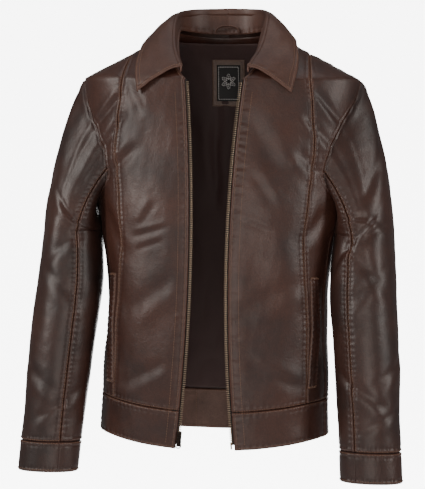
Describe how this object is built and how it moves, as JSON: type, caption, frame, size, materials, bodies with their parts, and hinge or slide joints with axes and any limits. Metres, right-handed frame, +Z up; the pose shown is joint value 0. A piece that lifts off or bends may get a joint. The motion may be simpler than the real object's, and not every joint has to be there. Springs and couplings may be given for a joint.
{
  "type": "leather jacket",
  "caption": "Brown leather zip jacket with a fold-down collar, long sleeves, hem and cuff bands, open front, welt pockets and a cloth lining.",
  "frame": {"origin": "centre of the neck opening, level with the neck seam", "axes": "+Z up along the standing jacket, -Y the way the jacket faces, +X the wearer's left"},
  "size_m": [0.64, 0.2495, 0.7921],
  "materials": {
    "leather": "waxed, softly glossy",
    "facing_leather": "waxed, softly glossy",
    "label_leather": "matt",
    "label_tag": "woven",
    "lining": "smooth twill",
    "pocket_cloth": "matt cotton",
    "zip_tape": "woven",
    "zip_teeth": "antique",
    "zip_metal": "antique dark"
  },
  "bodies": {
    "torso": {"back_panel": "leather", "back_hem_band": "leather", "hem_facing": "facing_leather", "back_lining": "lining", "collar_stand": "leather", "collar_back_leaf": "leather", "label_patch": "label_leather", "label_tag": "label_tag", "hanger_loop": "facing_leather", "left_front_side_panel": "leather", "right_front_side_panel": "leather", "left_side_panel": "leather", "right_side_panel": "leather", "left_side_back_panel": "leather", "right_side_back_panel": "leather", "left_side_hem_band": "leather", "right_side_hem_band": "leather", "left_side_lining": "lining", "right_side_lining": "lining", "left_pocket_welt": "leather", "right_pocket_welt": "leather", "left_pocket_bag": "pocket_cloth", "right_pocket_bag": "pocket_cloth"},
    "left_front": {"left_front_panel": "leather", "left_front_hem_band": "leather", "left_front_facing": "facing_leather", "left_front_lining": "lining", "left_zip_tape": "zip_tape", "left_zip_teeth": "zip_teeth", "left_zip_pin": "zip_metal"},
    "right_front": {"right_front_panel": "leather", "right_front_hem_band": "leather", "right_front_facing": "facing_leather", "right_front_lining": "lining", "right_zip_tape": "zip_tape", "right_zip_teeth": "zip_teeth", "right_zip_box": "zip_metal"},
    "slider": {"zip_slider": "zip_metal"},
    "pull": {"zip_pull": "zip_metal"},
    "ring": {"zip_ring": "zip_metal"},
    "left_sleeve": {"left_top_sleeve": "leather", "left_back_sleeve": "leather", "left_under_sleeve": "leather", "left_sleeve_lining": "lining", "left_cuff": "leather"},
    "right_sleeve": {"right_top_sleeve": "leather", "right_back_sleeve": "leather", "right_under_sleeve": "leather", "right_sleeve_lining": "lining", "right_cuff": "leather"},
    "left_collar": {"left_collar_leaf": "leather"},
    "right_collar": {"right_collar_leaf": "leather"}
  },
  "joints": [
    {"name": "left_front_open", "type": "hinge", "parent": "torso", "child": "left_front", "pos_m": [0.0985, -0.1095, -0.389], "axis": [-0.133, 0, 0.9911], "range_deg": [0, 100]},
    {"name": "right_front_open", "type": "hinge", "parent": "torso", "child": "right_front", "pos_m": [-0.0985, -0.1095, -0.389], "axis": [-0.133, 0, -0.9911], "range_deg": [0, 100]},
    {"name": "left_sleeve_raise", "type": "hinge", "parent": "torso", "child": "left_sleeve", "pos_m": [0.236, 0, -0.0835], "axis": [0, -1, 0], "range_deg": [0, 35]},
    {"name": "right_sleeve_raise", "type": "hinge", "parent": "torso", "child": "right_sleeve", "pos_m": [-0.236, 0, -0.0835], "axis": [0, 1, 0], "range_deg": [0, 35]},
    {"name": "left_collar_lift", "type": "hinge", "parent": "torso", "child": "left_collar", "pos_m": [0.0675, -0.0281, -0.0125], "axis": [-0.092, -0.7579, -0.6459], "range_deg": [0, 90]},
    {"name": "right_collar_lift", "type": "hinge", "parent": "torso", "child": "right_collar", "pos_m": [-0.0675, -0.0281, -0.0125], "axis": [-0.092, 0.7579, 0.6459], "range_deg": [0, 90]},
    {"name": "zip_slider_travel", "type": "hinge", "parent": "right_front", "child": "slider", "pos_m": [-1.63897, 1.33335, -0.45499], "axis": [-0.67, -0.7417, 0.031], "range_deg": [0, 14.8]},
    {"name": "zip_pull_swing", "type": "hinge", "parent": "slider", "child": "pull", "pos_m": [-0.04202, -0.12348, -0.68021], "axis": [-0.9953, 0, 0.097], "range_deg": [-3, 150]},
    {"name": "pull_ring_swing", "type": "hinge", "parent": "pull", "child": "ring", "pos_m": [-0.0427, -0.12348, -0.68718], "axis": [-0.9953, 0, 0.097], "range_deg": [-5, 60]}
  ]
}
